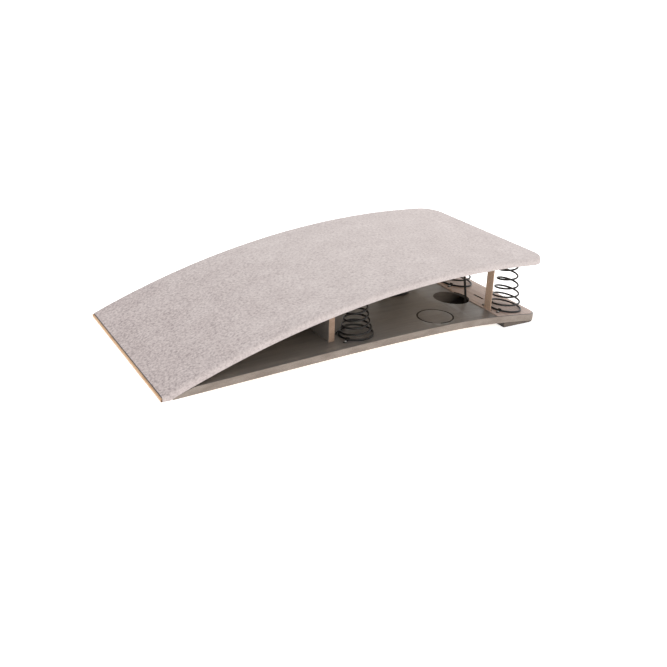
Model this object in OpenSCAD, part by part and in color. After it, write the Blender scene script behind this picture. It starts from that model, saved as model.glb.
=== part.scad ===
// Gymnastics springboard: a carpeted, curved plywood deck on conical coil springs over a plywood base.
// Millimetres. The origin is on the floor under the middle of the deck; +X runs from the low end to the
// high end and +Z is up. Distances named "from the low end" are measured along X from the deck's low edge.

/* [Deck] */
// Length of the deck, low end to high end
deck_l = 1200; // [1150:10:1250]
// Width of the deck and of the base
deck_w = 600; // [580:10:640]
// Height of the carpet at the crown of the deck
crown_h = 208; // [204:1:214]
// Distance from the low end to the crown
crown_from_low_end = 970; // [960:5:980]
// Radius of the deck's long curve
deck_r = 2500; // [2480:10:2520]
// Radius of the two corners at the high end, seen from above
deck_corner_r = 65; // [20:1:90]
// Thickness of the deck's plywood
board_t = 14; // [12:0.5:15]
// Thickness of the foam underlay
pad_t = 3; // [2:0.5:4]
// Thickness of the carpet, on top and down the edges
carpet_t = 3; // [2:0.5:4]
// Thickness of the hardwood strip glued on the deck's low end
nose_strip_t = 4; // [4:0.5:8]

/* [Base] */
// Thickness of the base's plywood
base_t = 21; // [18:0.5:22]
// Distance from the low end to the base's thin front edge
base_front = 30; // [28:1:36]
// Distance from the low end to the base's rear edge
base_rear = 1182; // [1176:1:1183]
// Rise of the base's straight stretch for each millimetre of length
base_slope = 0.043; // [0.038:0.001:0.046]
// Distance from the low end to the place where the base leaves the floor
base_lift = 40; // [38:1:44]
// Distance from the low end to the start of the base's gentle curve
curve_start = 470; // [440:5:500]
// Distance from the low end to the crest of the base
crest = 850; // [830:5:870]
// Radius of the base's curve behind its crest
rear_r = 2100; // [2080:10:2200]
// Radius of the base's two rear corners, seen from above
base_corner_r = 38; // [20:1:45]
// Thickness of the plank glued on the rear of the base
plank_t = 2; // [1.5:0.5:3]
// Thickness of the rubber strips under the rear foot
foot_strip_t = 1.5; // [1:0.25:2]

/* [Bump web] */
// Distance from the low end to the middle of the upright web
web_from_low_end = 499; // [494:1:505]
// Thickness of the web
web_t = 18; // [16:1:24]
// Length of the web across the board
web_w = 490; // [440:10:540]
// Clear height between the web's bumper and the deck
bump_gap = 19.4; // [19.4:0.2:22]
// Thickness of the rubber bumper on the web
bumper_t = 5; // [3:0.5:8]

/* [Springs] */
// Diameter of the spring wire
wire_d = 5.6; // [4.5:0.1:6]
// Outside radius of a spring at the base
spring_foot_r = 50.5; // [46:0.5:52]
// Outside radius of a spring at the deck
spring_head_r = 28.5; // [26:0.5:36]
// Turns of wire in a spring, end to end
spring_turns = 6.4; // [5.4:0.1:7]
// Turns that lie flat on the base
foot_turns = 0.6; // [0.5:0.01:0.62]
// Turns that lie flat under the deck
head_turns = 0.35; // [0.35:0.01:0.5]
// Rings of facets for each turn of wire
coil_steps = 18; // [12:1:20]

/* [Limit straps] */
// Width of the two outer straps
outer_strap_w = 30; // [25:1:34]
// Width of the two inner straps
inner_strap_w = 10; // [10:1:14]
// Thickness of the webbing
strap_t = 2.5; // [2:0.1:3]
// Length of the tab folded over at each end of a strap
strap_tab = 38; // [36:1:40]
// How far the head of an inner strap lies ahead of its foot
inner_strap_lean = 24; // [0:1:28]

/* [Hidden] */
$fn = 48;

// Clearances: a glue line, the air between the deck's body and the base's body, and a saw cut's overrun
glue = 0.06;
air = 0.3;
over = 1;

deck_t = board_t + pad_t + carpet_t;
arc_z = crown_h - deck_r;
deck_steps = 48;
nose_gap = 0.5;
nose_drop = 4;
cloth_x0 = nose_strip_t - deck_l / 2;

// The deck turns about this line, where it is screwed to the thin front of the base
pivot_from_low_end = 50;
joint_clear = 0.5;
joint_relief = 0.05;

function row_x(from_low_end) = from_low_end - deck_l / 2;
function mix(a, b, u) = a + (b - a) * u;

// Height of the deck's curve at x, at a depth below the carpet's face
function deck_z(x, depth) = arc_z + sqrt(pow(deck_r - depth, 2) - pow(x - row_x(crown_from_low_end), 2));
function deck_under(x) = deck_z(x, deck_t);
function deck_tilt(x) = asin((x - row_x(crown_from_low_end)) / (deck_r - deck_t));

// The base's underside: flat, then a straight rise, a gentle curve to the crest and a tighter one behind it
straight_end_z = base_slope * (curve_start - base_lift);
crest_z = straight_end_z + base_slope * (crest - curve_start) / 2;
function base_bottom_at(d) =
    d <= base_lift ? 0
    : d <= curve_start ? base_slope * (d - base_lift)
    : d <= crest ? crest_z - base_slope * pow(crest - d, 2) / (2 * (crest - curve_start))
    : crest_z - pow(d - crest, 2) / (2 * rear_r);
function base_bottom(x) = base_bottom_at(x + deck_l / 2);
function joint_gap(x) = joint_clear + joint_relief * max(0, x - row_x(pivot_from_low_end));
function base_top(x) = min(base_bottom(x) + base_t, deck_under(x) - joint_gap(x));
function base_tilt(x) = -atan((base_bottom(x + over) - base_bottom(x - over)) / (2 * over));

// The rear plank, and the surface that springs and straps stand on
plank_front = 1027;
plank_rear = 1178;
function floor_z(x) = base_top(x) + (x > row_x(plank_front) ? plank_t + glue : 0);

// Places on the base: distance from the low end, then distance from the centre line
mid_spring = [583, 231];
centre_spring = [853, 0];
rear_spring = [1100, 238];
rear_centre_spring = [1098, 0];
spare_seat = [850, 230];
pocket = [988, 120];
spare_slot = [1080, 138];
outer_strap = [1035, 240];
inner_strap = [1030, 141];

// The pitch of a spring's first turn, as a share of its mean pitch: wide enough for the wire and its clips
mid_pitch = 0.8;
centre_pitch = 0.8;
rear_pitch = 0.85;

spring_places = [
    [mid_spring[0], -mid_spring[1], mid_pitch], [mid_spring[0], mid_spring[1], mid_pitch],
    [centre_spring[0], centre_spring[1], centre_pitch],
    [rear_spring[0], -rear_spring[1], rear_pitch], [rear_spring[0], rear_spring[1], rear_pitch],
    [rear_centre_spring[0], rear_centre_spring[1], rear_pitch]
];
strap_places = [
    [outer_strap[0], -outer_strap[1], outer_strap_w, 0], [outer_strap[0], outer_strap[1], outer_strap_w, 0],
    [inner_strap[0], -inner_strap[1], inner_strap_w, inner_strap_lean],
    [inner_strap[0], inner_strap[1], inner_strap_w, inner_strap_lean]
];

// Round hollow and ring seat cut in the base's top face
pocket_r = 55;
pocket_depth = 16;
pocket_turn = 60;
seat_r = 52;
seat_w = 5;
seat_depth = 3;
spare_slot_size = [8, 45];

// Coil springs
wire_r = wire_d / 2;
start_angle = 100;
cone_flare = 1.5;
ring_sides = 8;
rings = round(spring_turns * coil_steps);

// Saddle clips that hold a spring's end turns
clip_t = 1.5;
clip_w = 8;
clip_lug = 15;
clip_play = 1.3;
foot_clip_angles = [150, 212];
head_clip_angles = [135, 226];

// Fasteners: shank radius, head radius and lengths
screw_r = 2;
pan_head_r = 4;
pan_head_h = 2.2;
clip_screw_l = 11;
wood_screw_r = 2.5;
wood_head_r = 5.5;
wood_head_h = 3;
front_screw_l = 21;
web_screw_l = 44;
batten_screw_l = 22;
strap_screw_l = 10;
strap_grip = strap_t + 6 * glue;
front_screw_play = 1.4;
spring_screw_reach = wire_r + clip_play + clip_t + clip_lug / 2;

front_screw_ys = [-240, -120, 0, 120, 240];
web_screw_ys = [-200, -100, 0, 100, 200];
batten_screw_ys = [-200, -70, 70, 200];
batten_front = 1051;
batten_rear = 1162;
batten_screw_x = 1100;

// ---- Shared shapes ----

// A side profile drawn in X and Z, drawn out across the board
module across(width) {
    rotate([90, 0, 0])
        translate([0, 0, -width / 2])
            linear_extrude(height = width)
                children();
}

// A plan outline, square at the low end and with rounded corners at the high end
module rounded_end(x0, x1, width, r) {
    translate([x0, -width / 2])
        square([x1 - r - x0, width]);
    translate([x0, r - width / 2])
        square([x1 - x0, width - 2 * r]);
    for (side = [-1, 1])
        translate([x1 - r, side * (width / 2 - r)])
            circle(r = r, $fn = 96);
}

// A layer between two depths under the carpet's face, from x0 to the high end, cut to the deck's outline
module deck_layer(top_depth, bottom_depth, inset, x0) {
    xs = [for (i = [0:deck_steps]) mix(-deck_l / 2, deck_l / 2, i / deck_steps)];
    top = [for (x = xs) [x, deck_z(x, top_depth)]];
    bottom = [for (i = [deck_steps:-1:0]) [xs[i], max(nose_gap, deck_z(xs[i], bottom_depth))]];
    intersection() {
        across(deck_w + 2 * over)
            polygon(concat(top, bottom));
        linear_extrude(height = crown_h + over)
            rounded_end(x0, deck_l / 2 - inset, deck_w - 2 * inset, deck_corner_r - inset);
    }
}

// Everything under the carpet's inner face, open at the low end
module under_carpet() {
    step = deck_l / deck_steps;
    xs = [for (i = [-1:deck_steps]) mix(-deck_l / 2, deck_l / 2, i / deck_steps)];
    intersection() {
        across(deck_w)
            polygon(concat([for (x = xs) [x, deck_z(x, carpet_t)]], [[deck_l / 2, -step], [xs[0], -step]]));
        translate([0, 0, -step])
            linear_extrude(height = crown_h + step)
                rounded_end(xs[0], deck_l / 2 - carpet_t, deck_w - 2 * carpet_t, deck_corner_r - carpet_t);
    }
}

// A plate between two curves, given as lists of heights over the same places
module profile_plate(xs, tops, bottoms, width) {
    n = len(xs);
    across(width)
        polygon(concat([for (i = [0:n - 1]) [xs[i], tops[i]]], [for (i = [n - 1:-1:0]) [xs[i], bottoms[i]]]));
}

// A pan-head screw: the head's flat face at z = 0, the shank running down
module pan_screw(length) {
    translate([0, 0, -length])
        cylinder(r = screw_r, h = length);
    rotate_extrude()
        polygon([
            [0, 0], [pan_head_r, 0], [pan_head_r, pan_head_h * 0.45],
            [pan_head_r * 0.7, pan_head_h], [0, pan_head_h]
        ]);
}

// A countersunk screw driven upwards: the head's flat face at z = 0, grown all round by play
module wood_screw(length, play = 0) {
    cylinder(r = wood_screw_r + play, h = length);
    cylinder(r1 = wood_head_r + play, r2 = wood_screw_r + play, h = wood_head_h);
}

// ---- Places of the fasteners ----

// Two screws side by side in a wide strap's tab, one in a narrow strap's
function strap_screw_offsets(width) = width > 20 ? [-width / 4, width / 4] : [0];

// Puts its children on a spring's foot turn: outward is +X, the base's face is z = 0
module at_foot_clips() {
    for (place = spring_places)
        for (a = foot_clip_angles)
            let (r = spring_foot_r - wire_r, x = row_x(place[0]) + r * cos(a), y = place[1] + r * sin(a))
                translate([x, y, floor_z(x) + glue])
                    rotate([0, base_tilt(x), 0])
                        rotate([0, 0, a])
                            children();
}

// Puts its children on a spring's head turn, upside down: outward is +X, the deck's underside is z = 0
module at_head_clips() {
    for (place = spring_places)
        for (a = head_clip_angles)
            let (r = spring_head_r - wire_r, x = row_x(place[0]) + r * cos(a), y = place[1] + r * sin(a))
                translate([x, y, deck_under(x) - glue])
                    rotate([0, deck_tilt(x), 0])
                        rotate([0, 0, a])
                            mirror([0, 0, 1])
                                children();
}

// Puts its children under the base at each strap's foot screws, pointing down
module at_strap_feet() {
    for (place = strap_places)
        for (offset = strap_screw_offsets(place[2]))
            let (x = row_x(place[0]) - strap_tab * 0.6, y = place[1] + offset)
                translate([x, y, base_bottom(x) - glue])
                    rotate([0, base_tilt(x), 0])
                        mirror([0, 0, 1])
                            children();
}

// Puts its children under the deck at each strap's head screws, pointing down
module at_strap_heads() {
    for (place = strap_places)
        for (offset = strap_screw_offsets(place[2]))
            let (x = row_x(place[0]) - place[3] - strap_tab * 0.6, y = place[1] + offset)
                translate([x, y, deck_under(x) - glue])
                    rotate([0, deck_tilt(x), 0])
                        mirror([0, 0, 1])
                            children();
}

module at_front_screws() {
    for (y = front_screw_ys)
        translate([row_x(pivot_from_low_end), y, base_bottom(row_x(pivot_from_low_end)) + nose_gap])
            children();
}

module at_web_screws() {
    for (y = web_screw_ys)
        translate([row_x(web_from_low_end), y, base_bottom(row_x(web_from_low_end)) + nose_gap])
            children();
}

module at_batten_screws() {
    for (y = batten_screw_ys)
        translate([row_x(batten_screw_x), y, foot_strip_t + nose_gap])
            children();
}

// ---- Base ----

// Places along the base where its side profile has a point: the thin front wedge, then even steps to the rear
wedge_end = 87;
wedge_xs = [for (d = [base_front, base_lift, pivot_from_low_end, 60, 70, 80]) row_x(d)];
base_steps = 36;
even_xs = [for (i = [0:base_steps]) mix(row_x(wedge_end), row_x(base_rear), i / base_steps)];
base_xs = concat(wedge_xs, even_xs);

module base_board() {
    color([0.33, 0.29, 0.27])
        difference() {
            intersection() {
                profile_plate(
                    base_xs,
                    [for (x = base_xs) base_top(x)],
                    [for (x = base_xs) base_bottom(x)],
                    deck_w);
                linear_extrude(height = crown_h)
                    rounded_end(row_x(base_front), row_x(base_rear), deck_w, base_corner_r);
            }
            for (side = [-1, 1]) {
                pocket_cut(side);
                ring_seat_cut(side);
                spare_slot_cut(side);
            }
            strap_slots();
            at_foot_clips()
                translate([spring_screw_reach, 0, clip_t])
                    pan_screw(clip_screw_l);
            at_strap_feet()
                translate([0, 0, strap_grip + clip_t])
                    pan_screw(strap_screw_l);
            at_front_screws()
                translate([0, 0, -nose_gap])
                    wood_screw(front_screw_l, front_screw_play);
            at_web_screws()
                wood_screw(web_screw_l);
            at_web_screws()
                translate([0, 0, -over])
                    cylinder(r = wood_head_r, h = over);
            at_batten_screws()
                wood_screw(batten_screw_l);
        }
}

// Round hollow beside an inner strap, its floor sloping down towards the board's side
module pocket_cut(side) {
    x = row_x(pocket[0]);
    fall = pocket_depth / 2;
    slope = atan((fall - over / 2) / pocket_r);
    translate([x, side * pocket[1], base_top(x)])
        rotate([0, base_tilt(x), 0])
            intersection() {
                cylinder(r = pocket_r, h = crown_h, center = true, $fn = 96);
                rotate([0, slope, side * pocket_turn])
                    translate([-crown_h, -crown_h, -fall])
                        cube(2 * crown_h);
            }
}

// Ring seat for moving a spring
module ring_seat_cut(side) {
    x = row_x(spare_seat[0]);
    translate([x, side * spare_seat[1], base_top(x) - seat_depth])
        difference() {
            cylinder(r = seat_r + seat_w / 2, h = crown_h, $fn = 96);
            translate([0, 0, -over])
                cylinder(r = seat_r - seat_w / 2, h = crown_h, $fn = 96);
        }
}

// Short slot across the rear of the base, a second place for an inner strap
module spare_slot_cut(side) {
    corner = [row_x(spare_slot[0]), side * spare_slot[1]] - spare_slot_size / 2;
    translate([corner[0], corner[1], -over])
        cube([spare_slot_size[0], spare_slot_size[1], crown_h]);
}

// Slots that let the straps through the base
module strap_slots() {
    play = 2;
    for (place = strap_places)
        translate([row_x(place[0]) - strap_t / 2 - play, place[1] - place[2] / 2 - play, -over])
            cube([strap_t + 2 * play, place[2] + 2 * play, crown_h / 2]);
}

// Thin plank on the rear of the base, under the rear springs
module rear_plank() {
    steps = 8;
    xs = [for (i = [0:steps]) mix(row_x(plank_front), row_x(plank_rear), i / steps)];
    bottoms = [for (x = xs) base_top(x) + glue];
    margin = 4;
    color([0.62, 0.52, 0.45])
        difference() {
            intersection() {
                profile_plate(xs, [for (z = bottoms) z + plank_t], bottoms, deck_w);
                linear_extrude(height = crown_h)
                    rounded_end(xs[0], xs[steps], deck_w - 2 * margin, base_corner_r - margin / 2);
            }
            for (side = [-1, 1]) {
                pocket_cut(side);
                spare_slot_cut(side);
            }
            strap_slots();
            at_foot_clips()
                translate([spring_screw_reach, 0, clip_t])
                    pan_screw(clip_screw_l);
        }
}

// Wedge-shaped batten that the high end stands on, a little short of the base's rear edge
module foot_batten() {
    steps = 6;
    xs = [for (i = [0:steps]) mix(row_x(batten_front), row_x(batten_rear), i / steps)];
    color([0.42, 0.38, 0.34])
        difference() {
            intersection() {
                profile_plate(xs, [for (x = xs) base_bottom(x) - glue], [for (x = xs) foot_strip_t], deck_w);
                linear_extrude(height = crown_h)
                    rounded_end(row_x(batten_front), row_x(base_rear), deck_w, base_corner_r);
            }
            at_batten_screws()
                wood_screw(batten_screw_l);
            at_batten_screws()
                translate([0, 0, -over])
                    cylinder(r = wood_head_r, h = over);
        }
}

// Two rubber strips that grip the floor
module foot_strips() {
    strip = [20, 560];
    color([0.08, 0.08, 0.08])
        for (d = [1062, 1128])
            translate([row_x(d), -strip[1] / 2, 0])
                cube([strip[0], strip[1], foot_strip_t - glue]);
}

module batten_screws() {
    color([0.6, 0.6, 0.62])
        at_batten_screws()
            wood_screw(batten_screw_l);
}

// ---- Bump web ----

web_xs = [row_x(web_from_low_end) - web_t / 2, row_x(web_from_low_end) + web_t / 2];

// Upright plywood web: the deck lands on it when it is pressed right down
module bump_web() {
    color([0.60, 0.50, 0.43])
        difference() {
            profile_plate(web_xs,
                [for (x = web_xs) deck_under(x) - bump_gap - bumper_t - glue],
                [for (x = web_xs) base_top(x) + glue],
                web_w);
            at_web_screws()
                wood_screw(web_screw_l);
        }
}

module web_bumper() {
    color([0.07, 0.07, 0.07])
        profile_plate(web_xs,
            [for (x = web_xs) deck_under(x) - bump_gap],
            [for (x = web_xs) deck_under(x) - bump_gap - bumper_t],
            web_w);
}

module web_screws() {
    color([0.6, 0.6, 0.62])
        at_web_screws()
            wood_screw(web_screw_l);
}

// ---- Springs ----

// How far along the spring's active turns n turns of wire have come, from 0 to 1
function active(n) = max(0, min(1, (n - foot_turns) / (spring_turns - foot_turns - head_turns)));
// The pitch grows evenly from the foot to the head
function rise(u, first_pitch) = first_pitch * u + (1 - first_pitch) * u * u;

// The wire's centre after n turns: it lies on the base at one end and under the deck at the other
function coil_point(place, n) =
    let (a = start_angle + 360 * n,
         r = mix(spring_foot_r, spring_head_r, 1 - pow(1 - active(n), cone_flare)) - wire_r,
         x = row_x(place[0]) + r * cos(a),
         low = floor_z(x) + wire_r + glue,
         high = deck_under(x) - wire_r - air)
    [x, place[1] + r * sin(a), mix(low, high, rise(active(n), place[2]))];

function unit(v) = v / norm(v);

// One ring of points around the wire
function coil_ring(place, n) =
    let (c = coil_point(place, n),
         along = unit(coil_point(place, n + 0.01) - coil_point(place, n - 0.01)),
         a = start_angle + 360 * n,
         out = unit(cross(cross(along, [cos(a), sin(a), 0]), along)),
         side = cross(along, out),
         turn = 360 / ring_sides)
    [for (j = [0:ring_sides - 1]) c + wire_r * (cos(turn * j) * out + sin(turn * j) * side)];

module coil_spring(place) {
    points = [for (i = [0:rings]) each coil_ring(place, i * spring_turns / rings)];
    walls = [
        for (i = [0:rings - 1])
            for (j = [0:ring_sides - 1])
                let (k = (j + 1) % ring_sides, b = i * ring_sides, t = b + ring_sides)
                    each [[b + j, t + j, b + k], [b + k, t + j, t + k]]
    ];
    first_cap = [[for (j = [0:ring_sides - 1]) j]];
    last_cap = [[for (j = [ring_sides - 1:-1:0]) rings * ring_sides + j]];
    color([0.09, 0.08, 0.07])
        polyhedron(points = points, faces = concat(walls, first_cap, last_cap));
}

module spring_mid_near() { coil_spring(spring_places[0]); }
module spring_mid_far() { coil_spring(spring_places[1]); }
module spring_centre() { coil_spring(spring_places[2]); }
module spring_rear_near() { coil_spring(spring_places[3]); }
module spring_rear_far() { coil_spring(spring_places[4]); }
module spring_rear_centre() { coil_spring(spring_places[5]); }

// Steel saddle bent over the wire, with one lug outwards: the wire's centre is over the origin
module saddle_clip(gap) {
    inner = wire_r + clip_play;
    outer = inner + clip_t;
    wire_z = wire_r + gap;
    difference() {
        across(clip_w)
            difference() {
                union() {
                    translate([0, wire_z])
                        circle(r = outer);
                    translate([-outer, 0])
                        square([2 * outer, wire_z]);
                    square([outer + clip_lug, clip_t]);
                }
                translate([0, wire_z])
                    circle(r = inner);
                translate([-inner, -over - outer])
                    square([2 * inner, wire_z + over + outer]);
                translate([-2 * outer, -2 * outer])
                    square([4 * outer + 2 * clip_lug, 2 * outer]);
            }
        translate([spring_screw_reach, 0, -over])
            cylinder(r = screw_r, h = 4 * over);
    }
}

module spring_foot_clips() {
    color([0.55, 0.55, 0.56])
        at_foot_clips()
            saddle_clip(0);
}

module spring_foot_screws() {
    color([0.6, 0.6, 0.62])
        at_foot_clips()
            translate([spring_screw_reach, 0, clip_t])
                pan_screw(clip_screw_l);
}

module spring_head_clips() {
    color([0.55, 0.55, 0.56])
        at_head_clips()
            saddle_clip(air);
}

module spring_head_screws() {
    color([0.6, 0.6, 0.62])
        at_head_clips()
            translate([spring_screw_reach, 0, clip_t])
                pan_screw(clip_screw_l);
}

// ---- Limit straps ----

// Webbing from under the base, up through its slot, to the underside of the deck, with a tab at each end
module limit_strap(place) {
    x1 = row_x(place[0]) + strap_t / 2;
    x0 = x1 - strap_t;
    x_tab = x1 - strap_tab;
    lean = place[3];
    low0 = base_bottom(x_tab) - 2 * glue;
    low1 = base_bottom(x1) - 2 * glue;
    high0 = deck_under(x_tab - lean) - air;
    high1 = deck_under(x1 - lean) - air;
    difference() {
        translate([0, place[1], 0])
            across(place[2])
                polygon([
                    [x_tab, low0 - strap_t], [x1, low1 - strap_t], [x1, low1 + base_t],
                    [x1 - lean, high1], [x_tab - lean, high0], [x_tab - lean, high0 - strap_t],
                    [x0 - lean, high1 - strap_t], [x0, low1 + base_t], [x0, low1], [x_tab, low0]
                ]);
        at_strap_heads()
            translate([0, 0, -over])
                cylinder(r = screw_r + 2 * air, h = 3 * strap_t);
        at_strap_feet()
            translate([0, 0, -over])
                cylinder(r = screw_r, h = 3 * strap_t);
    }
}

module outer_strap_near() { color([0.60, 0.49, 0.40]) limit_strap(strap_places[0]); }
module outer_strap_far() { color([0.60, 0.49, 0.40]) limit_strap(strap_places[1]); }
module inner_strap_near() { color([0.06, 0.05, 0.05]) limit_strap(strap_places[2]); }
module inner_strap_far() { color([0.06, 0.05, 0.05]) limit_strap(strap_places[3]); }

// One steel clamp plate under a strap's tab
module clamp_plate(width) {
    length = strap_tab * 0.5;
    difference() {
        translate([-length / 2, -width / 2, 0])
            cube([length, width, clip_t]);
        for (offset = strap_screw_offsets(width))
            translate([0, offset, -over])
                cylinder(r = screw_r, h = 4 * over);
    }
}

module strap_foot_plates() {
    color([0.55, 0.55, 0.56])
        for (place = strap_places)
            let (x = row_x(place[0]) - strap_tab * 0.6)
                translate([x, place[1], base_bottom(x) - glue])
                    rotate([0, base_tilt(x), 0])
                        mirror([0, 0, 1])
                            translate([0, 0, strap_grip])
                                clamp_plate(place[2]);
}

module strap_foot_screws() {
    color([0.6, 0.6, 0.62])
        at_strap_feet()
            translate([0, 0, strap_grip + clip_t])
                pan_screw(strap_screw_l);
}

module strap_head_plates() {
    color([0.55, 0.55, 0.56])
        for (place = strap_places)
            let (x = row_x(place[0]) - place[3] - strap_tab * 0.6)
                translate([x, place[1], deck_under(x) - glue])
                    rotate([0, deck_tilt(x), 0])
                        mirror([0, 0, 1])
                            translate([0, 0, strap_t + 2 * air])
                                clamp_plate(place[2]);
}

module strap_head_screws() {
    color([0.6, 0.6, 0.62])
        at_strap_heads()
            translate([0, 0, strap_t + clip_t + 2 * air])
                pan_screw(strap_screw_l);
}

// ---- Deck ----

module top_board() {
    color([0.80, 0.66, 0.50])
        difference() {
            deck_layer(carpet_t + pad_t, deck_t, carpet_t, cloth_x0);
            at_front_screws()
                wood_screw(front_screw_l);
            at_head_clips()
                translate([spring_screw_reach, 0, clip_t])
                    pan_screw(clip_screw_l);
            at_strap_heads()
                translate([0, 0, strap_t + clip_t + 2 * air])
                    pan_screw(strap_screw_l);
        }
}

// Hardwood strip across the low end, a little lower than the carpet's face
module nose_strip() {
    color([0.80, 0.62, 0.44])
        difference() {
            deck_layer(nose_drop, deck_t, 0, -deck_l / 2);
            translate([cloth_x0 - glue, -deck_w, -over])
                cube([deck_l, 2 * deck_w, 2 * crown_h]);
        }
}

module foam_pad() {
    color([0.35, 0.36, 0.38])
        deck_layer(carpet_t, carpet_t + pad_t, carpet_t, cloth_x0);
}

module carpet() {
    color([0.78, 0.74, 0.73])
        difference() {
            deck_layer(0, deck_t, 0, cloth_x0);
            under_carpet();
        }
}

// Screws from under the front of the base into the deck
module front_screws() {
    color([0.6, 0.6, 0.62])
        at_front_screws()
            wood_screw(front_screw_l);
}

base_board();
rear_plank();
foot_batten();
foot_strips();
batten_screws();
bump_web();
web_bumper();
web_screws();
spring_mid_near();
spring_mid_far();
spring_centre();
spring_rear_near();
spring_rear_far();
spring_rear_centre();
spring_foot_clips();
spring_foot_screws();
outer_strap_near();
outer_strap_far();
inner_strap_near();
inner_strap_far();
strap_foot_plates();
strap_foot_screws();
top_board();
nose_strip();
foam_pad();
carpet();
front_screws();
spring_head_clips();
spring_head_screws();
strap_head_plates();
strap_head_screws();
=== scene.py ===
"""Gymnastics springboard: the looks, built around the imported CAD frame.
Lengths are millimetres until a mesh is made."""
import math

import bmesh
import bpy
from mathutils import Matrix, Vector, noise


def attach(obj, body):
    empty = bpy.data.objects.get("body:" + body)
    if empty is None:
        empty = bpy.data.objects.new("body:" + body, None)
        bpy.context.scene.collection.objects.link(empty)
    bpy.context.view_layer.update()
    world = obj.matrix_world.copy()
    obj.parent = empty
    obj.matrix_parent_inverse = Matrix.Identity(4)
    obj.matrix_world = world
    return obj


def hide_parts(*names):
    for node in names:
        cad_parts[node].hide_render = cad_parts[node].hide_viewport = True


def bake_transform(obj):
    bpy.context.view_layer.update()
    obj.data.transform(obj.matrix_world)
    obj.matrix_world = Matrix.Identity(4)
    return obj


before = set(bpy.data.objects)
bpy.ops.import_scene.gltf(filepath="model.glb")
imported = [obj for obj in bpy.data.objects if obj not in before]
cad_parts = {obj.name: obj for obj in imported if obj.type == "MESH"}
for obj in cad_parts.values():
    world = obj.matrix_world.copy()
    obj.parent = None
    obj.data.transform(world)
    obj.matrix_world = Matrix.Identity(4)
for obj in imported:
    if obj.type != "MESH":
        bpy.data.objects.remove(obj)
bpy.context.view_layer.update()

MM = 0.001

# The deck's long curve and the base's side profile, as in part.scad
DECK_L, DECK_W, DECK_T = 1200, 600, 20
CROWN_X, CROWN_H, DECK_R, CORNER_R = 370, 208, 2500, 65
CARPET_T, PAD_T, NOSE_T, NOSE_GAP = 3, 3, 4, 0.5
BASE_T, BASE_SLOPE, LIFT, CURVE, CREST, REAR_R = 21, 0.043, 40, 470, 850, 2100
BASE_FRONT_X, BASE_REAR_X, BASE_CORNER_R = -570, 582, 38
PLANK_FRONT_X, PLANK_T, PLANK_W = 427, 2.06, 592
BATTEN_FRONT_X = 451
WEB_FRONT_X, WEB_W = -110, 490
POCKET, POCKET_R = (388, 120), 55
SEAT, SEAT_R, SEAT_W = (250, 230), 52, 5

# How far from an edge a point still counts as lying on it
NEAR = 0.4
# Behind this, the high end's rounded corners begin
CORNERS_X = 530

# Springs: the same winding as in part.scad, drawn finer
WIRE_R, FOOT_R, HEAD_R, TURNS, FOOT_TURNS, HEAD_TURNS = 2.8, 50.5, 28.5, 6.4, 0.6, 0.35
START_ANGLE, CONE_FLARE = 100, 1.5
GLUE, AIR = 0.06, 0.3
# Each spring's place, and the pitch of its first turn as a share of its mean pitch
SPRINGS = {
    "spring_mid_near": (-17, -231, 0.8),
    "spring_mid_far": (-17, 231, 0.8),
    "spring_centre": (253, 0, 0.8),
    "spring_rear_near": (500, -238, 0.85),
    "spring_rear_far": (500, 238, 0.85),
    "spring_rear_centre": (498, 0, 0.85),
}
# Each strap's place, width, and how far its head lies ahead of its foot
STRAPS = {
    "outer_strap_near": (435, -240, 30, 0),
    "outer_strap_far": (435, 240, 30, 0),
    "inner_strap_near": (430, -141, 10, 24),
    "inner_strap_far": (430, 141, 10, 24),
}
STRAP_T, STRAP_TAB = 2.5, 38
WIDE_STRAP_W = 20

# Carpet: the radius of its turned-down edge, how far its face is trimmed back, and its pile's unevenness
CARPET_EDGE_R, PILE_TRIM = 9, 0.3
BROAD_SWELL, FINE_SWELL = (0.28, 19), (0.2, 8)
FOAM_EDGE_R = 6


def mix(a, b, u):
    return a + (b - a) * u


def deck_z(x, depth=0.0):
    """Height of the deck's curve at x, at a depth below the carpet's face."""
    return CROWN_H - DECK_R + math.sqrt((DECK_R - depth) ** 2 - (x - CROWN_X) ** 2)


def base_bottom(x):
    d = x + DECK_L / 2
    straight = BASE_SLOPE * (CURVE - LIFT)
    top = straight + BASE_SLOPE * (CREST - CURVE) / 2
    if d <= LIFT:
        return 0.0
    if d <= CURVE:
        return BASE_SLOPE * (d - LIFT)
    if d <= CREST:
        return top - BASE_SLOPE * (CREST - d) ** 2 / (2 * (CREST - CURVE))
    return top - (d - CREST) ** 2 / (2 * REAR_R)


def base_top(x):
    gap = 0.5 + 0.05 * max(0, x + 550)
    return min(base_bottom(x) + BASE_T, deck_z(x, DECK_T) - gap)


def floor_z(x):
    return base_top(x) + (PLANK_T if x > PLANK_FRONT_X else 0)


# ---- Materials ----


WHITE = (255, 255, 255)


def linear(colour):
    """An sRGB colour from 0 to 255 as the linear RGBA that Blender works in."""
    parts = [c / 255 for c in colour]
    return tuple(c / 12.92 if c <= 0.04045 else ((c + 0.055) / 1.055) ** 2.4 for c in parts) + (1.0,)


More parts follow.
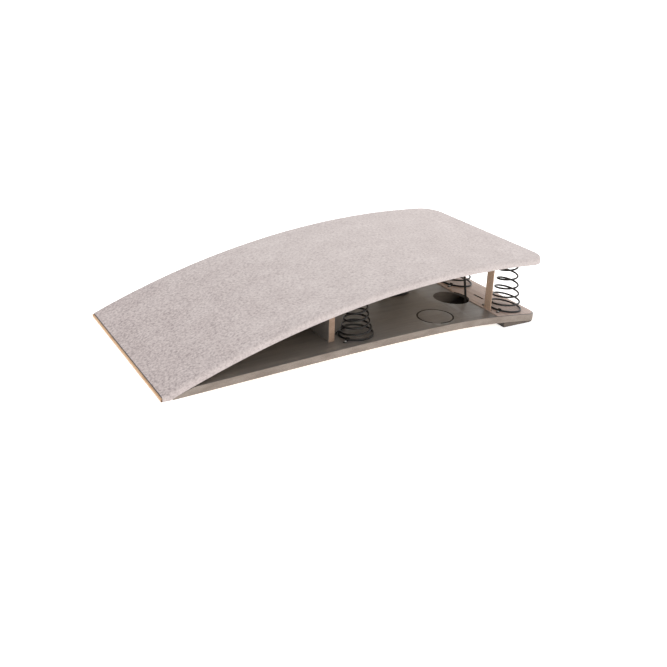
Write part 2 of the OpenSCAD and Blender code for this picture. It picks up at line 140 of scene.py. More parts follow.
class Graph:
    """A material's node tree. Each call adds one node and returns its output."""

    def __init__(self, name):
        self.material = bpy.data.materials.new(name)
        self.material.use_nodes = True
        self.tree = self.material.node_tree
        self.shader = self.tree.nodes["Principled BSDF"]
        self.place = self.node("ShaderNodeTexCoord").outputs["Object"]

    def node(self, kind, **settings):
        made = self.tree.nodes.new(kind)
        for key, value in settings.items():
            setattr(made, key, value)
        return made

    def feed(self, socket, value):
        if isinstance(value, bpy.types.NodeSocket):
            self.tree.links.new(value, socket)
        else:
            socket.default_value = value

    def scaled(self, factors):
        made = self.node("ShaderNodeVectorMath", operation="MULTIPLY")
        self.feed(made.inputs[0], self.place)
        made.inputs[1].default_value = factors
        return made.outputs[0]

    def noise(self, factors, detail=3.0, rough=0.55, distortion=0.0):
        made = self.node("ShaderNodeTexNoise")
        self.feed(made.inputs["Vector"], self.scaled(factors))
        made.inputs["Scale"].default_value = 1.0
        made.inputs["Detail"].default_value = detail
        made.inputs["Roughness"].default_value = rough
        made.inputs["Distortion"].default_value = distortion
        return made.outputs["Fac"]

    def math(self, operation, a, b=0.0):
        made = self.node("ShaderNodeMath", operation=operation)
        self.feed(made.inputs[0], a)
        self.feed(made.inputs[1], b)
        return made.outputs[0]

    def attribute(self, name):
        return self.node("ShaderNodeAttribute", attribute_name=name).outputs["Fac"]

    def ramp(self, factor, *stops):
        """Colours by factor: each stop is (place, sRGB colour)."""
        made = self.node("ShaderNodeValToRGB")
        self.feed(made.inputs[0], factor)
        elements = made.color_ramp.elements
        while len(elements) < len(stops):
            elements.new(0.5)
        for element, (place, colour) in zip(elements, stops):
            element.position = place
            element.color = linear(colour)
        return made.outputs[0]

    def levels(self, factor, low, high, a=0.0, b=1.0):
        made = self.node("ShaderNodeMapRange")
        self.feed(made.inputs["Value"], factor)
        made.inputs["From Min"].default_value = low
        made.inputs["From Max"].default_value = high
        made.inputs["To Min"].default_value = a
        made.inputs["To Max"].default_value = b
        return made.outputs[0]

    def blend(self, mode, factor, a, b):
        made = self.node("ShaderNodeMix", data_type="RGBA", blend_type=mode)
        self.feed(made.inputs[0], factor)
        self.feed(made.inputs[6], a)
        self.feed(made.inputs[7], b)
        return made.outputs[2]

    def bump(self, height, distance, strength=1.0, under=None):
        made = self.node("ShaderNodeBump")
        self.feed(made.inputs["Height"], height)
        made.inputs["Distance"].default_value = distance
        made.inputs["Strength"].default_value = strength
        if under is not None:
            self.feed(made.inputs["Normal"], under)
        return made.outputs[0]

    def finish(self, **inputs):
        for key, value in inputs.items():
            self.feed(self.shader.inputs[key.replace("_", " ")], value)
        return self.material


def felt_material():
    """Needle-punched carpet: pinkish beige with grey flecks, more of them at the low end, where painted
    shade also darkens it.
    """
    g = Graph("carpet_felt")
    flecks = g.noise((150, 150, 150), detail=4, rough=0.62)
    clouds = g.noise((14, 14, 14), detail=2)
    fibres = g.noise((900, 520, 900), detail=2, rough=0.7, distortion=1.2)
    along = g.math("ADD", g.attribute("along"), g.math("MULTIPLY", clouds, 0.3))
    # Painted shade: towards the low end the face blends into a darker grey mottle. It stands for the shade
    # where the deck slopes away from the light, together with the thicker flecks there.
    low_end_shade_and_flecks = g.levels(along, 0.15, 0.6, 1.0, 0.0)
    face = g.ramp(
        flecks,
        (0.30, (170, 160, 159)), (0.46, (197, 187, 185)), (0.62, (208, 199, 196)), (0.78, (220, 211, 208)),
    )
    mottle_and_shade = g.ramp(flecks, (0.36, (144, 132, 132)), (0.50, (187, 174, 173)), (0.66, (210, 198, 195)))
    colour = g.blend("MIX", g.math("MULTIPLY", low_end_shade_and_flecks, 0.75), face, mottle_and_shade)
    shade = g.ramp(clouds, (0.3, (225, 222, 222)), (0.7, WHITE))
    colour = g.blend("MULTIPLY", 0.35, colour, shade)
    edge = g.ramp(fibres, (0.3, (190, 179, 175)), (0.7, (216, 205, 200)))
    colour = g.blend("MIX", g.math("MULTIPLY", g.attribute("edge"), 0.35), colour, edge)
    colour = g.blend("MULTIPLY", 0.35, colour, g.ramp(fibres, (0.28, (196, 192, 190)), (0.6, WHITE)))
    relief = g.bump(flecks, 0.0011, 0.6)
    relief = g.bump(fibres, 0.0005, 0.7, relief)
    return g.finish(
        Base_Color=colour, Roughness=0.96, Normal=relief, Specular_IOR_Level=0.15,
        Sheen_Weight=0.22, Sheen_Roughness=0.6, Sheen_Tint=linear((235, 228, 224)),
    )


def foam_material():
    g = Graph("foam_underlay")
    cells = g.noise((1600, 1600, 1600), detail=1)
    colour = g.ramp(cells, (0.35, (66, 68, 72)), (0.65, (98, 100, 105)))
    return g.finish(Base_Color=colour, Roughness=0.9, Normal=g.bump(cells, 0.0004, 0.8))


def ply_edge_material(name, pale, mid, dark, line, pitch):
    """Cut plywood: veneers in turn along and across the grain, with thin glue lines between them."""
    g = Graph(name)
    depth = g.attribute("depth")
    layer = g.math("FRACT", g.math("DIVIDE", depth, pitch * 2))
    fibres = g.noise((260, 260, 1200), detail=3, rough=0.65)
    stains = g.noise((22, 22, 60), detail=3)
    colour = g.ramp(
        layer,
        (0.0, line), (0.07, pale), (0.44, mid), (0.50, line), (0.56, dark), (0.94, dark), (1.0, line),
    )
    colour = g.blend("MULTIPLY", 0.45, colour, g.ramp(fibres, (0.3, (178, 170, 160)), (0.62, WHITE)))
    colour = g.blend("MULTIPLY", 0.5, colour, g.ramp(stains, (0.32, (186, 178, 172)), (0.6, WHITE)))
    relief = g.bump(layer, 0.00025, 0.5)
    return g.finish(Base_Color=colour, Roughness=0.72, Normal=g.bump(fibres, 0.0003, 0.5, relief))


def veneer_material(name, pale, dark, roughness=0.6, grain="x"):
    """A sheet of veneer with long grain, pores and a few darker streaks."""
    g = Graph(name)
    along, across = ((7, 95, 95), (26, 900, 900)) if grain == "x" else ((95, 7, 95), (900, 26, 900))
    grain_lines = g.noise(along, detail=5, rough=0.6, distortion=0.6)
    pores = g.noise(across, detail=2, rough=0.6)
    colour = g.ramp(grain_lines, (0.3, dark), (0.52, pale), (0.72, pale))
    colour = g.blend("MULTIPLY", 0.4, colour, g.ramp(pores, (0.32, (150, 138, 126)), (0.5, WHITE)))
    gloss = g.levels(grain_lines, 0.3, 0.7, roughness + 0.08, roughness - 0.05)
    return g.finish(Base_Color=colour, Roughness=gloss, Normal=g.bump(pores, 0.00012, 0.5))


def base_paint_material():
    """Dark varnish on the base's top face: faint grain, scuffs, and painted shade that darkens it down in
    the cuts.
    """
    g = Graph("base_varnish")
    grain_lines = g.noise((6, 80, 80), detail=5, rough=0.6, distortion=0.5)
    scuffs = g.noise((16, 30, 30), detail=4, rough=0.65)
    colour = g.ramp(grain_lines, (0.3, (97, 93, 91)), (0.7, (117, 112, 109)))
    colour = g.blend("MIX", g.levels(scuffs, 0.56, 0.75, 0.0, 0.4), colour, linear((156, 147, 140)))
    # Painted shade: the deeper a face lies below the base's top, in slots and other cuts, the closer to
    # black it is coloured.
    down = g.levels(g.attribute("depth"), 1.5, 12.0, 0.0, 0.96)
    colour = g.blend("MIX", down, colour, linear((22, 19, 17)))
    gloss = g.levels(scuffs, 0.3, 0.75, 0.34, 0.55)
    return g.finish(
        Base_Color=colour, Roughness=gloss, Normal=g.bump(grain_lines, 0.0002, 0.4),
        Specular_IOR_Level=0.55, Coat_Weight=0.25, Coat_Roughness=0.3,
    )


def hollow_material():
    """Bare matt floor of the hollow: the same varnish at its shallow side, with painted shade making it
    nearly black where it is deep.
    """
    g = Graph("base_hollow")
    grain_lines = g.noise((6, 80, 80), detail=5, rough=0.6, distortion=0.5)
    top = g.ramp(grain_lines, (0.3, (97, 93, 91)), (0.7, (117, 112, 109)))
    # Painted shade: the hollow's floor and walls blend to near-black with depth, for the shadow inside the
    # recess.
    colour = g.blend("MIX", g.levels(g.attribute("depth"), 2.0, 9.0), top, linear((10, 8, 7)))
    relief = g.bump(grain_lines, 0.0002, 0.4)
    return g.finish(Base_Color=colour, Roughness=0.9, Normal=relief, Specular_IOR_Level=0.05)


def spring_material():
    """Oil-tempered wire: black and oily, with slight wear."""
    g = Graph("spring_black")
    wear = g.noise((240, 240, 240), detail=4, rough=0.65)
    draw_lines = g.noise((900, 900, 900), detail=1)
    colour = g.ramp(wear, (0.35, (12, 11, 10)), (0.66, (22, 20, 18)), (0.82, (52, 44, 38)))
    gloss = g.levels(wear, 0.3, 0.7, 0.26, 0.42)
    return g.finish(
        Base_Color=colour, Metallic=0.1, Roughness=gloss, Normal=g.bump(draw_lines, 0.00005, 0.4),
        Specular_IOR_Level=0.5,
    )


def steel_material(name, pale, dark, roughness):
    """Zinc-plated steel: small crystals, dulled in patches."""
    g = Graph(name)
    patches = g.noise((320, 320, 320), detail=4, rough=0.6)
    grit = g.noise((2600, 2600, 2600), detail=1)
    colour = g.ramp(patches, (0.3, dark), (0.65, pale))
    gloss = g.levels(patches, 0.3, 0.7, roughness + 0.12, roughness)
    return g.finish(Base_Color=colour, Metallic=0.9, Roughness=gloss, Normal=g.bump(grit, 0.00003, 0.5))


def rubber_material(name, ribs):
    """Black rubber with moulded ribs and patchy dust."""
    g = Graph(name)
    grit = g.noise((1500, 1500, 1500), detail=2)
    dust = g.noise((60, 60, 60), detail=3)
    wave = g.node("ShaderNodeTexWave", wave_type="BANDS", bands_direction="Y")
    g.feed(wave.inputs["Vector"], g.place)
    wave.inputs["Scale"].default_value = ribs
    colour = g.ramp(dust, (0.35, (22, 22, 22)), (0.7, (44, 42, 40)))
    relief = g.bump(wave.outputs["Fac"], 0.0005, 0.6)
    return g.finish(Base_Color=colour, Roughness=0.75, Normal=g.bump(grit, 0.0001, 0.4, relief))


def webbing_material(name, pale, dark):
    """Woven webbing: a basket weave of 1.6 mm yarns, from the strap's own length and width."""
    g = Graph(name)
    turn = 2 * math.pi / 1.6
    warp = g.math("SINE", g.math("MULTIPLY", g.attribute("across_strap"), turn))
    weft = g.math("SINE", g.math("MULTIPLY", g.attribute("along_strap"), turn))
    weave = g.levels(g.math("MULTIPLY", warp, weft), -1.0, 1.0)
    fuzz = g.noise((1400, 1400, 1400), detail=2)
    colour = g.ramp(weave, (0.2, dark), (0.7, pale))
    colour = g.blend("MULTIPLY", 0.4, colour, g.ramp(fuzz, (0.3, (188, 182, 176)), (0.65, WHITE)))
    relief = g.bump(weave, 0.0004, 0.9)
    return g.finish(
        Base_Color=colour, Roughness=0.85, Normal=g.bump(fuzz, 0.0001, 0.5, relief),
        Sheen_Weight=0.15, Sheen_Roughness=0.5,
    )


FELT = felt_material()
FOAM = foam_material()
BASE_EDGE = ply_edge_material(
    "base_ply_edge", (168, 156, 145), (158, 146, 136), (145, 133, 124), (112, 98, 89), 1.5)
WEB_EDGE = ply_edge_material(
    "web_ply_edge", (184, 158, 136), (176, 148, 128), (160, 134, 116), (120, 98, 82), 1.6)
DECK_EDGE = ply_edge_material(
    "deck_ply_edge", (216, 186, 146), (206, 172, 130), (190, 152, 112), (140, 106, 76), 1.4)
DECK_UNDER = veneer_material("deck_birch", (214, 190, 156), (184, 152, 116))
BASE_UNDER = veneer_material("base_birch", (196, 176, 152), (166, 142, 118))
BASE_TOP = base_paint_material()
HOLLOW = hollow_material()
PLANK_TOP = veneer_material("plank_beech", (190, 171, 162), (168, 148, 139), 0.5, "y")
# Painted shade: the batten's beech is coloured dark brown for the shade it stands in under the base's rear
# end.
BATTEN = veneer_material("batten_beech_shaded", (94, 83, 74), (72, 63, 56), 0.65, "y")
# Painted shade: near-black veneer standing in for the shadow on the batten's front and bottom faces.
BATTEN_SHADE_FACE = veneer_material("batten_painted_shade", (44, 40, 37), (26, 24, 22), 0.6, "y")
NOSE = veneer_material("nose_hardwood", (206, 168, 130), (168, 126, 90), 0.55, "y")
NOSE_END = veneer_material("nose_end_grain", (112, 84, 62), (78, 56, 42), 0.75, "x")
# Painted shade: a near-black veneer for the walls and floors of the seat groove and the plank's slots, where
# shade falls.
BASE_CUT_SHADE = veneer_material("base_cut_painted_shade", (40, 35, 32), (24, 21, 19), 0.7)
SPRING = spring_material()
CLIP = steel_material("clip_black_oxide", (58, 56, 54), (34, 32, 31), 0.4)
ZINC = steel_material("screw_zinc", (196, 196, 194), (150, 150, 146), 0.26)
GRIP = rubber_material("grip_rubber", 90)
BUMPER = rubber_material("bumper_rubber", 60)
TAN_WEB = webbing_material("webbing_tan", (214, 184, 160), (172, 144, 122))
BLACK_WEB = webbing_material("webbing_black", (38, 34, 32), (16, 14, 13))


# ---- Mesh helpers ----


def new_piece(name, points, faces, *materials):
    """A mesh object from points in millimetres."""
    mesh = bpy.data.meshes.new(name)
    mesh.from_pydata([Vector(p) * MM for p in points], [], faces)
    mesh.update()
    for material in materials:
        mesh.materials.append(material)
    obj = bpy.data.objects.new(name, mesh)
    bpy.context.scene.collection.objects.link(obj)
    mesh.shade_smooth()
    return obj


def point_values(obj, name, values):
    attribute = obj.data.attributes.new(name, "FLOAT", "POINT")
    attribute.data.foreach_set("value", [float(v) for v in values])


def face_outwards(obj):
    bm = bmesh.new()
    bm.from_mesh(obj.data)
    bmesh.ops.recalc_face_normals(bm, faces=bm.faces)
    bm.to_mesh(obj.data)
    bm.free()


def grid_faces(rows, columns, closed=False):
    """Quads between rows of points; closed joins each row's last point to its first."""
    faces = []
    for i in range(rows - 1):
        for j in range(columns if closed else columns - 1):
            k = (j + 1) % columns
            a, b = i * columns, (i + 1) * columns
            faces.append((a + j, b + j, b + k, a + k))
    return faces


# ---- Deck: carpet and foam ----


def deck_core(inset, step):
    """Rows of plan points over the deck inside an inset outline, and the outline's points with their outward
    directions. The outline runs from the near low corner round the high end to the far low corner."""
    x0 = NOSE_T - DECK_L / 2
    radius = CORNER_R - inset
    x1 = DECK_L / 2 - CORNER_R
    half = DECK_W / 2 - inset
    count = round((x1 - x0) / step)
    places = [(mix(x0, x1, i / count), half, 0.0) for i in range(count)]
    for k in range(13):
        a = math.radians(90 * k / 12)
        places.append((x1 + radius * math.sin(a), half - radius + radius * math.cos(a), a))
    columns = round(DECK_W / step) + 1
    rows = [[(x, mix(-w, w, j / (columns - 1))) for j in range(columns)] for x, w, _ in places]
    last = len(rows) - 1
    outline = [(i * columns, math.sin(a), -math.cos(a)) for i, (_, _, a) in enumerate(places)]
    outline += [(last * columns + j, 1.0, 0.0) for j in range(1, columns)]
    for i in range(last - 1, -1, -1):
        a = places[i][2]
        outline.append((i * columns + columns - 1, math.sin(a), math.cos(a)))
    return rows, columns, outline


def rounded_cover(inset, edge_r, depth, rings, step):
    """A sheet over the deck whose edge turns down. Each ring is (angle, share of the way down the skirt)."""
    rows, columns, outline = deck_core(inset + edge_r, step)
    points = [(x, y, deck_z(x, depth)) for row in rows for x, y in row]
    faces = grid_faces(len(rows), columns)
    edges = [0.0] * len(points)
    plan = [(x, y) for row in rows for x, y in row]
    inner = [i for i, _, _ in outline]
    for angle, fall in rings:
        a = math.radians(angle)
        ring = []
        for index, nx, ny in outline:
            x = plan[index][0] + nx * edge_r * math.sin(a)
            y = plan[index][1] + ny * edge_r * math.sin(a)
            z = deck_z(x, depth) - edge_r * (1 - math.cos(a))
            z = mix(z, max(NOSE_GAP, deck_z(x, DECK_T)), fall)
            ring.append(len(points))
            points.append((x, y, z))
            edges.append(min(1.0, angle / 60))
        for j in range(len(ring) - 1):
            faces.append((inner[j], ring[j], ring[j + 1], inner[j + 1]))
        inner = ring
    return points, faces, edges


def make_carpet():
    rings = [(15 * k, 0) for k in range(1, 7)] + [(90, k / 4) for k in range(1, 5)]
    points, faces, edges = rounded_cover(0, CARPET_EDGE_R, 0, rings, 5)
    obj = new_piece("carpet_cover", points, faces, FELT)
    point_values(obj, "edge", edges)
    point_values(obj, "along", [(p[0] + DECK_L / 2) / DECK_L for p in points])
    bm = bmesh.new()
    bm.from_mesh(obj.data)
    bm.normal_update()
    for v in bm.verts:
        swell = sum(height * noise.noise(v.co / MM / size) for height, size in (BROAD_SWELL, FINE_SWELL))
        v.co -= v.normal * (PILE_TRIM - swell) * MM
    shell = bmesh.ops.duplicate(bm, geom=bm.verts[:] + bm.edges[:] + bm.faces[:])
    for v in (g for g in shell["geom"] if isinstance(g, bmesh.types.BMVert)):
        v.co -= v.normal * (CARPET_T - 2 * PILE_TRIM) * MM
    inner_faces = [g for g in shell["geom"] if isinstance(g, bmesh.types.BMFace)]
    bmesh.ops.reverse_faces(bm, faces=inner_faces)
    rim = [e for e in bm.edges if e.is_boundary]
    bmesh.ops.bridge_loops(bm, edges=rim)
    bmesh.ops.recalc_face_normals(bm, faces=bm.faces)
    bm.to_mesh(obj.data)
    bm.free()
    obj.data.set_sharp_from_angle(angle=math.radians(55))
    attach(obj, "deck")
    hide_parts("carpet")
    return obj


def make_foam():
    rings = [(18, 0), (36, 0), (54, 0)]
    gap = 0.05
    points, faces, _ = rounded_cover(CARPET_T + 2 * gap, FOAM_EDGE_R, CARPET_T + gap, rings, 15)
    count = len(points)
    sides = dict.fromkeys((a, b) for f in faces for a, b in zip(f, f[1:] + f[:1]))
    walls = [(b, a, a + count, b + count) for a, b in sides if (b, a) not in sides]
    bottom = [(x, y, deck_z(x, CARPET_T + PAD_T - gap)) for x, y, _ in points]
    under = [tuple(i + count for i in reversed(f)) for f in faces]
    obj = new_piece("foam_underlay", points + bottom, faces + under + walls, FOAM)
    obj.data.set_sharp_from_angle(angle=math.radians(40))
    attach(obj, "deck")
    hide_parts("foam_pad")
    return obj


# ---- Boards ----


def on_base_outline(p, margin):
    """True near the base's outer edge, seen from above."""
    x, y = p.x / MM, abs(p.y) / MM
    if y > DECK_W / 2 - margin or x < BASE_FRONT_X + margin or x > BASE_REAR_X - margin:
        return True
    cx, cy = BASE_REAR_X - BASE_CORNER_R, DECK_W / 2 - BASE_CORNER_R
    return x > cx and y > cy and math.hypot(x - cx, y - cy) > BASE_CORNER_R - margin


def on_pocket_rim(p):
    """True on the hollow's upper rim, where its wall is deep enough to round over."""
    x, y = p.x / MM - POCKET[0], abs(p.y) / MM - POCKET[1]
    return abs(math.hypot(x, y) - POCKET_R) < 0.5 and 2 * x + y > 0 and p.z / MM > base_top(p.x / MM) - 2


def in_seat_groove(p):
    x, y = p.x / MM - SEAT[0], abs(p.y) / MM - SEAT[1]
    return abs(math.hypot(x, y) - SEAT_R) < SEAT_W / 2 + 0.1 and p.z / MM < base_top(p.x / MM) - 0.5


def in_hollow(p):
    x, y = p.x / MM - POCKET[0], abs(p.y) / MM - POCKET[1]
    return math.hypot(x, y) < POCKET_R + 1 and p.z / MM < base_top(p.x / MM) - 0.5


def eased_board(node, name, ease, chosen, segments=3):
    """A copy of a CAD board with its chosen sharp edges rounded over."""
    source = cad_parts[node]
    mesh = source.data.copy()
    mesh.name = name
    bm = bmesh.new()
    bm.from_mesh(mesh)
    bmesh.ops.remove_doubles(bm, verts=bm.verts, dist=1e-5)
    sharp = []
    for e in bm.edges:
        middle = (e.verts[0].co + e.verts[1].co) / 2
        if e.is_manifold and e.calc_face_angle(0) > math.radians(50) and chosen(middle):
            sharp.append(e)
    bmesh.ops.bevel(bm, geom=sharp, offset=ease * MM, offset_type="OFFSET", segments=segments,
                    profile=0.5, affect="EDGES", clamp_overlap=False)
    bm.to_mesh(mesh)
    bm.free()
    mesh.materials.clear()
    mesh.shade_smooth()
    mesh.set_sharp_from_angle(angle=math.radians(32))
    obj = bpy.data.objects.new(name, mesh)
    bpy.context.scene.collection.objects.link(obj)
    normals = obj.modifiers.new("flat_faces", "WEIGHTED_NORMAL")
    normals.keep_sharp = True
    normals.weight = 100
    return obj


def face_materials(obj, materials, choose):
    for material in materials:
        obj.data.materials.append(material)
    for polygon in obj.data.polygons:
        polygon.material_index = choose(polygon.center, polygon.normal)


def finish_board(obj, node, body):
    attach(obj, body)
    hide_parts(node)


def make_base():
    def rim(p):
        return on_base_outline(p, NEAR) or on_pocket_rim(p)

    obj = eased_board("base_board", "base_plywood", 1.0, rim)
    point_values(obj, "depth", [base_top(v.co.x / MM) - v.co.z / MM for v in obj.data.vertices])

    def choose(centre, normal):
        if normal.z < -0.9:
            return 2
        # Painted shade: the seat groove and the hollow take the dark materials.
        if in_seat_groove(centre):
            return 3
        if in_hollow(centre):
            return 4
        return 1 if normal.z < 0.9 and on_base_outline(centre, 1.5) else 0

    face_materials(obj, (BASE_TOP, BASE_EDGE, BASE_UNDER, BASE_CUT_SHADE, HOLLOW), choose)
    finish_board(obj, "base_board", "base")


def make_plank():
    def outline(p):
        x = p.x / MM
        return x < PLANK_FRONT_X + NEAR or abs(p.y) / MM > PLANK_W / 2 - NEAR or x > CORNERS_X

    def choose(centre, normal):
        # Painted shade: the inner walls of the plank's slots take the near-black veneer.
        return 1 if abs(normal.z) < 0.7 and not outline(centre) else 0

    obj = eased_board("rear_plank", "rear_plank_veneered", 0.6, outline, 2)
    face_materials(obj, (PLANK_TOP, BASE_CUT_SHADE), choose)
    finish_board(obj, "rear_plank", "base")


def make_batten():
    def outline(p):
        return on_base_outline(p, NEAR) or p.x / MM < BATTEN_FRONT_X + NEAR

    def choose(centre, normal):
        # Painted shade: the front and bottom faces take the near-black veneer.
        return 1 if min(normal.x, normal.z) < -0.7 else 0

    obj = eased_board("foot_batten", "foot_batten_beech", 1.2, outline)
    face_materials(obj, (BATTEN, BATTEN_SHADE_FACE), choose)
    finish_board(obj, "foot_batten", "base")


def make_web():
    obj = eased_board("bump_web", "bump_web_plywood", 0.8, lambda p: abs(p.y) / MM > WEB_W / 2 - NEAR, 2)
    point_values(obj, "depth", [v.co.x / MM - WEB_FRONT_X for v in obj.data.vertices])
    face_materials(obj, (BASE_TOP, WEB_EDGE), lambda centre, normal: 0 if abs(normal.x) > 0.7 else 1)
    finish_board(obj, "bump_web", "base")


def make_top_board():
    def outline(p):
        return abs(p.y) / MM > DECK_W / 2 - CARPET_T - NEAR or p.x / MM > CORNERS_X

    obj = eased_board("top_board", "deck_plywood", 1.5, outline)
    top = CARPET_T + PAD_T
    point_values(obj, "depth", [deck_z(v.co.x / MM, top) - v.co.z / MM for v in obj.data.vertices])
    face_materials(obj, (DECK_UNDER, DECK_EDGE), lambda centre, normal: 0 if abs(normal.z) > 0.85 else 1)
    finish_board(obj, "top_board", "deck")


def make_nose():
    obj = eased_board("nose_strip", "nose_strip_hardwood", 0.9, lambda p: True)
    face_materials(obj, (NOSE, NOSE_END), lambda centre, normal: 1 if abs(normal.y) > 0.7 else 0)
    finish_board(obj, "nose_strip", "deck")


# ---- Springs ----


def coil_point(place, n):
    """The wire's centre after n turns."""
    active = max(0, min(1, (n - FOOT_TURNS) / (TURNS - FOOT_TURNS - HEAD_TURNS)))
    a = math.radians(START_ANGLE + 360 * n)
    r = mix(FOOT_R, HEAD_R, 1 - (1 - active) ** CONE_FLARE) - WIRE_R
    x = place[0] + r * math.cos(a)
    low = floor_z(x) + WIRE_R + GLUE
    high = deck_z(x, DECK_T) - WIRE_R - AIR
    rise = place[2] * active + (1 - place[2]) * active ** 2
    return Vector((x, place[1] + r * math.sin(a), mix(low, high, rise)))


def make_spring(node, place):
    """The wire of one spring, drawn with 44 rings to a turn."""
    sides, steps = 14, round(TURNS * 44)
    points = []
    for i in range(steps + 1):
        n = TURNS * i / steps
        centre = coil_point(place, n)
        along = (coil_point(place, n + 0.01) - coil_point(place, n - 0.01)).normalized()
        a = math.radians(START_ANGLE + 360 * n)
        out = along.cross(Vector((math.cos(a), math.sin(a), 0))).cross(along).normalized()
        side = along.cross(out)
        for j in range(sides):
            t = 2 * math.pi * j / sides
            points.append(centre + WIRE_R * (math.cos(t) * out + math.sin(t) * side))
    faces = grid_faces(steps + 1, sides, closed=True)
    faces.append(tuple(range(sides))[::-1])
    faces.append(tuple(range(steps * sides, (steps + 1) * sides)))
    obj = new_piece("coil_" + node[7:], points, faces, SPRING)
    face_outwards(obj)
    obj.data.set_sharp_from_angle(angle=math.radians(50))
    low = Vector((place[0], place[1], floor_z(place[0]) + 2 * WIRE_R)) * MM
    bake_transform(obj)
    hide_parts(node)


# ---- Straps ----


def rounded_path(corners, radius, steps=6):
    """A path through corners in the XZ plane, each inner corner turned on a radius."""
    path = [Vector(corners[0])]
    for before, corner, after in zip(corners, corners[1:], corners[2:]):
        corner = Vector(corner)
        a = (Vector(before) - corner).normalized()
        b = (Vector(after) - corner).normalized()
        half = a.angle(b) / 2
        reach = radius / math.tan(half)
        middle = corner + (a + b).normalized() * radius / math.sin(half)
        first, last = corner + a * reach - middle, corner + b * reach - middle
        for i in range(steps + 1):
            path.append(middle + first.slerp(last, i / steps))
    path.append(Vector(corners[-1]))
    return path


def strap_path(x, lean):
    """From the tab under the base, up through the slot and along under the deck, in steps of about 3 mm."""
    half_t = STRAP_T / 2
    tab_x = x + half_t - STRAP_TAB
    head_x, head_tab_x = x - lean, tab_x - lean
    foot = base_bottom(x) - 2 * GLUE - half_t
    corners = [(tab_x, base_bottom(tab_x) - 2 * GLUE - half_t), (x, foot)]
    if lean:
        corners.append((x, foot + BASE_T + 3))
    corners += [(c, deck_z(c, DECK_T) - AIR - half_t) for c in (head_x, head_tab_x)]
    bent = rounded_path(corners, 3.2)
    path = [bent[0]]
    for a, b in zip(bent, bent[1:]):
        parts = max(1, round((b - a).length / 3))
        path += [a.lerp(b, k / parts) for k in range(1, parts + 1)]
    return path


def strap_section(width):
    """The strap's outline across its length, with rounded edges: points (across, through)."""
    half_t, edge = STRAP_T / 2, 0.8
    flat = width / 2 - edge
    across = [mix(-flat, flat, k / 12) for k in range(13)]
    turns = [math.radians(a) for a in (45, 90, 135)]
    section = [(w, half_t) for w in across]
    section += [(flat + edge * math.sin(a), half_t * math.cos(a)) for a in turns]
    section += [(w, -half_t) for w in reversed(across)]
    section += [(-flat - edge * math.sin(a), -half_t * math.cos(a)) for a in turns]
    return section


def make_strap(node, x, y, width, lean, material, slot):
    """Webbing swept along its path."""
    path, section = strap_path(x, lean), strap_section(width)
    points, along_values, across_values = [], [], []
    length = 0.0
    for i, p in enumerate(path):
        before, after = path[max(0, i - 1)], path[min(len(path) - 1, i + 1)]
        along = (after - before).normalized()
        through = Vector((-along.y, along.x))
        if i:
            length += (p - path[i - 1]).length
        for w, t in section:
            points.append((p.x + through.x * t, y + w, p.y + through.y * t))
            along_values.append(length)
            across_values.append(w)
    count = len(section)
    faces = grid_faces(len(path), count, closed=True)
    faces.append(tuple(range(count)))
    faces.append(tuple(range((len(path) - 1) * count, len(path) * count)))
    obj = new_piece("webbing_" + node, points, faces, material)
    point_values(obj, "along_strap", along_values)
    point_values(obj, "across_strap", across_values)
    face_outwards(obj)
    obj.data.set_sharp_from_angle(angle=math.radians(60))
    low = Vector((x, y, base_top(x))) * MM
    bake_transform(obj)
    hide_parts(node)


# ---- Small parts that stay as CAD nodes ----


def dress(node, material, ease):
    """A better finish for a CAD node, with its sharp edges broken."""
    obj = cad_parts[node]
    for slot in obj.material_slots:
        slot.material = material
    weld = obj.modifiers.new("weld", "WELD")
    weld.merge_threshold = 1e-5
    bevel = obj.modifiers.new("bevel", "BEVEL")
    bevel.width = ease * MM
    bevel.segments = 2
    bevel.limit_method = "ANGLE"
    bevel.angle_limit = math.radians(50)
    bevel.harden_normals = False


# ---- Stage, light and camera ----


def make_stage():
    g = Graph("studio_floor")
    tone = g.noise((1.5, 1.5, 1.5), detail=1)
    colour = g.ramp(tone, (0.3, (243, 243, 243)), (0.7, (247, 247, 247)))
    material = g.finish(
        Base_Color=colour, Roughness=0.9, Specular_IOR_Level=0.0,
        Emission_Color=(1, 1, 1, 1), Emission_Strength=0.7,
    )
    points = [(x, y, -0.5) for x in (-30000, 30000) for y in (-30000, 30000)]
    floor = new_piece("floor", points, [(0, 2, 3, 1)], material)


def area_light(name, place, aim, size, power):
    light = bpy.data.lights.new(name, "AREA")
    light.shape = "DISK"
    light.size = size
    light.energy = power
    obj = bpy.data.objects.new(name, light)
    obj.location = place
    obj.rotation_euler = (Vector(aim) - Vector(place)).to_track_quat("-Z", "Y").to_euler()
    bpy.context.scene.collection.objects.link(obj)


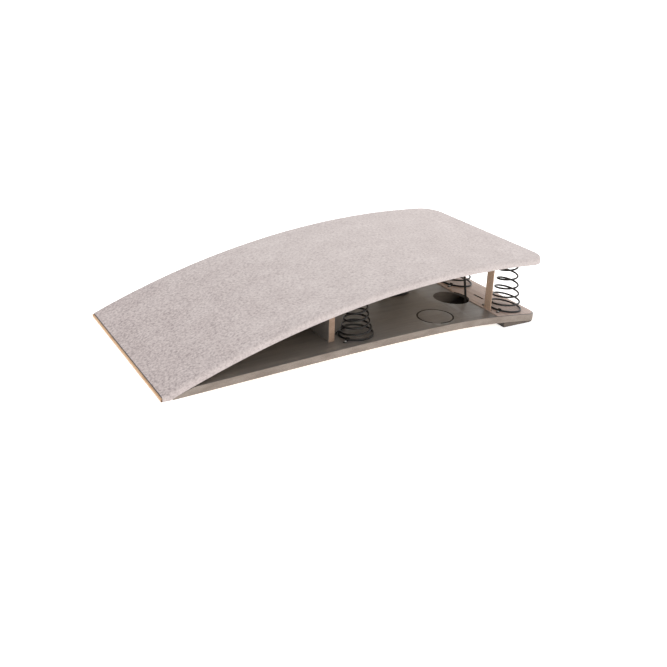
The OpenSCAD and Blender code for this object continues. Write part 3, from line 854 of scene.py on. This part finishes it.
def make_light():
    scene = bpy.context.scene
    scene.view_settings.view_transform = "Standard"
    world = bpy.data.worlds.new("studio")
    world.use_nodes = True
    background = world.node_tree.nodes["Background"]
    background.inputs["Color"].default_value = (1.0, 1.0, 1.0, 1.0)
    background.inputs["Strength"].default_value = 0.95
    scene.world = world
    area_light("key", (1.6, 0.6, 2.4), (0.1, 0.0, 0.1), 1.6, 22)
    area_light("fill", (-1.2, -2.4, 1.6), (0.0, 0.0, 0.1), 1.8, 6)


def make_camera():
    """The viewing angle of the photo: a long lens, turned slightly about its own axis."""
    azimuth, elevation, roll = math.radians(-30.07), math.radians(23.55), math.radians(1.75)
    flat = math.cos(elevation)
    back = Vector((math.sin(azimuth) * flat, -math.cos(azimuth) * flat, math.sin(elevation)))
    right = (-back).cross(Vector((0, 0, 1))).normalized()
    up = right.cross(-back)
    turned_right = right * math.cos(roll) + up * math.sin(roll)
    turned_up = up * math.cos(roll) - right * math.sin(roll)
    rotation = Matrix((turned_right, turned_up, back)).transposed().to_4x4()
    data = bpy.data.cameras.new("camera")
    data.lens = 47.84
    data.sensor_width = 36
    data.clip_end = 100
    camera = bpy.data.objects.new("camera", data)
    camera.matrix_world = Matrix.Translation((-1.188, -2.132, 1.015)) @ rotation
    bpy.context.scene.collection.objects.link(camera)
    bpy.context.scene.camera = camera


make_camera()
make_stage()
make_light()

carpet = make_carpet()
foam = make_foam()
make_base()
make_plank()
make_batten()
make_web()
make_top_board()
make_nose()
for node, place in SPRINGS.items():
    make_spring(node, place)
for node, (x, y, width, lean) in STRAPS.items():
    wide = width > WIDE_STRAP_W
    material, slot = (TAN_WEB, "tan_webbing") if wide else (BLACK_WEB, "black_webbing")
    make_strap(node, x, y, width, lean, material, slot)
for node in ("spring_foot_clips", "spring_head_clips", "strap_foot_plates", "strap_head_plates"):
    dress(node, CLIP, 0.2)
for node in ("spring_foot_screws", "spring_head_screws", "strap_foot_screws", "strap_head_screws",
             "web_screws", "batten_screws", "front_screws"):
    dress(node, ZINC, 0.15)
dress("foot_strips", GRIP, 0.5)
dress("web_bumper", BUMPER, 1.2)
